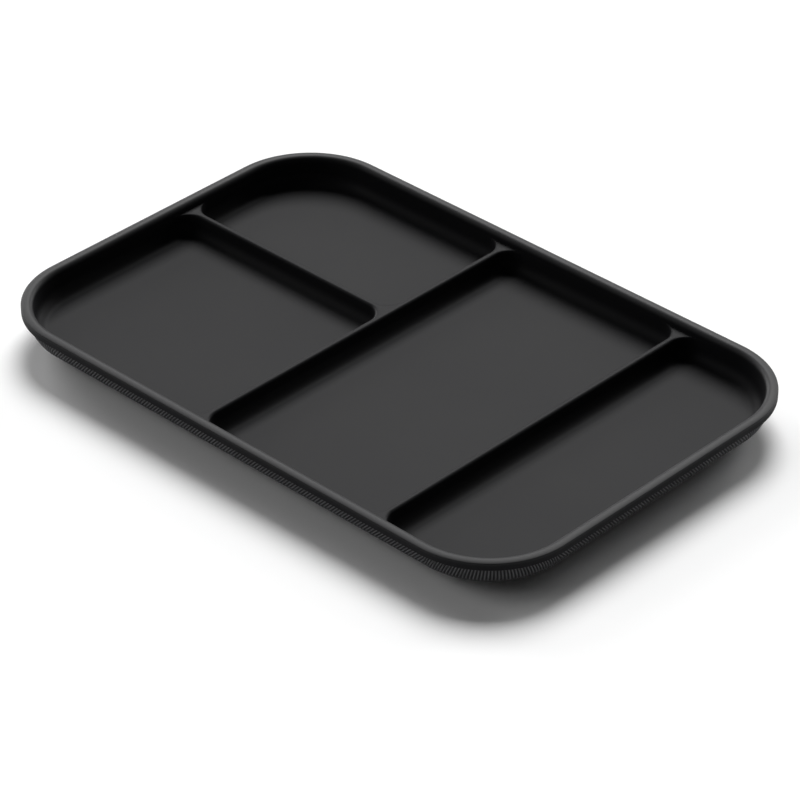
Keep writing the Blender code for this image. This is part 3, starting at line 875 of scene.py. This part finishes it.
def grip_ring_mesh(body, shape):
    """The ribbed ring as one closed tube of loops."""
    bm = bmesh.new()
    ridge = bm.verts.layers.float.new(RIDGE)
    radius = body.sizes.corner_radius
    stretches = ring_stretches(radius, shape)
    rib_count = sum(stretch[0] for stretch in stretches)
    columns = [step / shape.rib_steps for step in range(shape.rib_steps * rib_count)]
    rings = []
    for inset, depth, share, lean in ring_section(body, shape):
        ring = []
        for rib in columns:
            # The ribs lean one way on the short sides, the other way on the long ones, and stand straight
            # in the middle of each corner.
            facing = ring_place(stretches, rib)[1]
            moved = rib + shape.rib_lean * lean * (facing.x ** 2 - facing.y ** 2)
            centre, facing = ring_place(stretches, moved)
            hollow = share * abs(math.sin(math.pi * rib))
            point = centre + facing * (radius - inset - shape.rib_depth * hollow)
            vertex = bm.verts.new((point.x, point.y, TRAY_TOP - depth))
            # The mask of the painted shade: 0 gives the dark hollow colour, 1 the rubber's own.
            vertex[ridge] = share * (1 - hollow)
            ring.append(vertex)
        rings.append(ring)
    for upper, lower in zip(rings, rings[1:] + rings[:1]):
        bridge(bm, upper, lower)
    return add_piece("ribbed_grip_ring", bm)


# Operators


class TRAY_OT_body(Operator):
    """Makes the moulded body with its rim, lip, pockets and dividers"""

    bl_idname = "tray.body"
    bl_label = "Moulded body"

    def execute(self, context):
        scene = context.scene
        body = BodyShape(scene.tray_shape)
        item = loft("moulded_tray", [[body.tray_outline(*point) for point in body.outside()]])
        cut_away(item, loft("well", [[body.tray_outline(*point) for point in body.rim_inside()]]))
        cut_away(item, loft("pockets", [body.pocket_cutter(pocket) for pocket in body.pockets()]))
        cut_away(item, body.under_cavity())
        smooth(item, BODY_EDGE_ANGLE)
        finish_piece(item, soft_touch_lacquer(scene.tray_finish), "soft_touch_black", "tray_body")
        return {"FINISHED"}


class TRAY_OT_grip_ring(Operator):
    """Makes the ribbed rubber ring below the lip"""

    bl_idname = "tray.grip_ring"
    bl_label = "Ribbed grip ring"

    def execute(self, context):
        scene = context.scene
        finish = scene.tray_finish
        item = grip_ring_mesh(BodyShape(scene.tray_shape), scene.grip_ring_shape)
        smooth(item, RING_EDGE_ANGLE)
        made = moulded_rubber(
            "TPE rubber, moulded in ribs", finish.ring_rubber, finish.ring_dust, 0.6, 0.75,
            finish.ring_painted_shade,
        )
        finish_piece(item, made, "grip_rubber", "grip_ring")
        return {"FINISHED"}


class TRAY_OT_base(Operator):
    """Finishes the base plate and its screws"""

    bl_idname = "tray.base"
    bl_label = "Base plate and screws"

    def execute(self, context):
        finish = context.scene.tray_finish
        repaint("base_plate", eroded_abs(finish))
        steel = oxide_steel(finish)
        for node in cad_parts:
            if node.startswith("base_screw"):
                repaint(node, steel)
        return {"FINISHED"}


class TRAY_OT_feet(Operator):
    """Finishes the rubber feet"""

    bl_idname = "tray.feet"
    bl_label = "Rubber feet"

    def execute(self, context):
        finish = context.scene.tray_finish
        made = moulded_rubber(
            "Silicone rubber, moulded feet", finish.foot_rubber, finish.foot_dust, 0.7, 0.85,
        )
        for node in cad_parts:
            if node.startswith("foot"):
                repaint(node, made)
        return {"FINISHED"}


class TRAY_OT_stage(Operator):
    """Sets the floor, the lamps and the camera"""

    bl_idname = "tray.stage"
    bl_label = "Studio stage"

    def execute(self, context):
        settings = context.scene.tray_studio
        add_floor(settings)
        add_world(settings)
        add_lamps(settings)
        add_camera(settings)
        context.scene.view_settings.view_transform = "Standard"
        return {"FINISHED"}


def add_floor(settings):
    """A wide pale floor that keeps the tray's shadow and is as good as white away from it."""
    bm = bmesh.new()
    bmesh.ops.create_grid(bm, x_segments=1, y_segments=1, size=FLOOR_REACH)
    floor = add_piece("studio_floor", bm)
    made, tree = new_material("Matte studio board")
    where = add_node(tree, "ShaderNodeTexCoord", (-900, 0)).outputs["Object"]
    fibre = add_node(
        tree, "ShaderNodeTexNoise", (-600, 0), inputs={"Scale": per_millimetre(2.0), "Detail": 2.0},
        links={"Vector": where},
    )
    bump = add_node(
        tree, "ShaderNodeBump", (-300, -200), inputs={"Strength": 0.05, "Distance": 0.02 * MM},
        links={"Height": fibre.outputs["Fac"]},
    )
    shader = add_node(
        tree, "ShaderNodeBsdfPrincipled", (0, 0),
        inputs={"Base Color": linear(settings.floor_colour), "Roughness": 0.9, "Specular IOR Level": 0.2},
        links={"Normal": bump.outputs["Normal"]},
    )
    add_node(tree, "ShaderNodeOutputMaterial", (300, 0), links={"Surface": shader.outputs["BSDF"]})
    floor.data.materials.append(made)


def add_world(settings):
    """Weak light from all round, and a white background that reflections also show at its foot."""
    world = bpy.data.worlds.new("studio")
    world.use_nodes = True
    tree = world.node_tree
    tree.nodes.clear()
    path = add_node(tree, "ShaderNodeLightPath", (-800, 0))
    way = add_node(tree, "ShaderNodeTexCoord", (-1200, -200)).outputs["Generated"]
    height = add_node(tree, "ShaderNodeSeparateXYZ", (-1000, -200), links={"Vector": way}).outputs["Z"]
    # The backdrop's top, 5 to 12 degrees over the horizon. Above it, reflections show only the weak light.
    backdrop = remap(tree, (-800, -250), height, (0.09, 0.2), (1.0, 0.0))
    mirrored = add_node(tree, "ShaderNodeMath", (-600, -150), settings={"operation": "MULTIPLY"})
    tree.links.new(path.outputs["Is Glossy Ray"], mirrored.inputs[0])
    tree.links.new(backdrop, mirrored.inputs[1])
    straight = add_node(tree, "ShaderNodeMath", (-600, 50), settings={"operation": "MAXIMUM"})
    tree.links.new(path.outputs["Is Camera Ray"], straight.inputs[0])
    tree.links.new(path.outputs["Is Transmission Ray"], straight.inputs[1])
    either = add_node(tree, "ShaderNodeMath", (-400, 0), settings={"operation": "MAXIMUM"})
    tree.links.new(straight.outputs[0], either.inputs[0])
    tree.links.new(mirrored.outputs[0], either.inputs[1])
    white = (1, 1, 1, 1)
    soft = add_node(
        tree, "ShaderNodeBackground", (-200, -150), inputs={"Color": white, "Strength": settings.room_light},
    )
    plain = add_node(tree, "ShaderNodeBackground", (-200, 150), inputs={"Color": white, "Strength": 1.0})
    mix = add_node(tree, "ShaderNodeMixShader", (0, 0), links={"Fac": either.outputs[0]})
    tree.links.new(soft.outputs[0], mix.inputs[1])
    tree.links.new(plain.outputs[0], mix.inputs[2])
    add_node(tree, "ShaderNodeOutputWorld", (200, 0), links={"Surface": mix.outputs[0]})
    bpy.context.scene.world = world


def add_lamps(settings):
    """Soft lights from afar: a key behind on the left, two low ones and a weak one in front on the left."""
    for name, (bearing, height, spread, strength) in SOFT_LIGHTS.items():
        data = bpy.data.lights.new(name, "SUN")
        data.angle = math.radians(spread)
        data.energy = strength * settings.lamp_level
        turn = math.radians(bearing)
        rise = math.radians(height)
        level = math.cos(rise)
        place = Vector((-level * math.sin(turn), level * math.cos(turn), math.sin(rise)))
        lamp = bpy.data.objects.new(name, data)
        lamp.location = place
        lamp.rotation_mode = "QUATERNION"
        lamp.rotation_quaternion = (-place).to_track_quat("-Z", "Y")
        bpy.context.scene.collection.objects.link(lamp)


def add_camera(settings):
    """The camera, at the photograph's viewing angle."""
    azimuth, elevation = settings.azimuth, settings.elevation
    back = Vector((
        math.sin(azimuth) * math.cos(elevation),
        -math.cos(azimuth) * math.cos(elevation),
        math.sin(elevation),
    ))
    data = bpy.data.cameras.new("camera")
    # A full-frame sensor, to which the lens length refers, and clipping well clear of the tray.
    data.sensor_width = 36.0
    data.lens = settings.lens
    data.dof.use_dof = False
    data.clip_start = settings.distance / 20
    data.clip_end = settings.distance * 10
    camera = bpy.data.objects.new("camera", data)
    camera.rotation_mode = "QUATERNION"
    camera.location = Vector(settings.target) + back * settings.distance
    camera.rotation_quaternion = (-back).to_track_quat("-Z", "Y")
    bpy.context.scene.collection.objects.link(camera)
    bpy.context.scene.camera = camera


class TRAY_PT_panel(Panel):
    """Lists the tray's pieces"""

    bl_idname = "TRAY_PT_panel"
    bl_label = "Compartment Tray"
    bl_space_type = "VIEW_3D"
    bl_region_type = "UI"
    bl_category = "Tray"

    def draw(self, context):
        for operator in OPERATORS:
            self.layout.operator(operator.bl_idname)
        for name in GROUPS:
            group = getattr(context.scene, name)
            box = self.layout.box()
            for key in group.bl_rna.properties.keys():
                if key not in ("rna_type", "name"):
                    box.prop(group, key)


OPERATORS = (TRAY_OT_stage, TRAY_OT_body, TRAY_OT_grip_ring, TRAY_OT_base, TRAY_OT_feet)
GROUPS = {
    "tray_shape": TrayShape,
    "grip_ring_shape": GripRingShape,
    "tray_finish": TrayFinish,
    "tray_studio": StudioSettings,
}
CLASSES = (*GROUPS.values(), *OPERATORS, TRAY_PT_panel)


def register():
    """Registers the classes and gives the scene their settings."""
    for item in CLASSES:
        bpy.utils.register_class(item)
    for name, group in GROUPS.items():
        setattr(bpy.types.Scene, name, PointerProperty(type=group))


def unregister():
    """Takes the settings and the classes away again."""
    for name in GROUPS:
        delattr(bpy.types.Scene, name)
    for item in reversed(CLASSES):
        bpy.utils.unregister_class(item)


def main():
    """Registers the classes and builds every piece."""
    register()
    bpy.ops.tray.stage()
    bpy.ops.tray.body()
    bpy.ops.tray.grip_ring()
    bpy.ops.tray.base()
    bpy.ops.tray.feet()


if __name__ == "__main__":
    main()
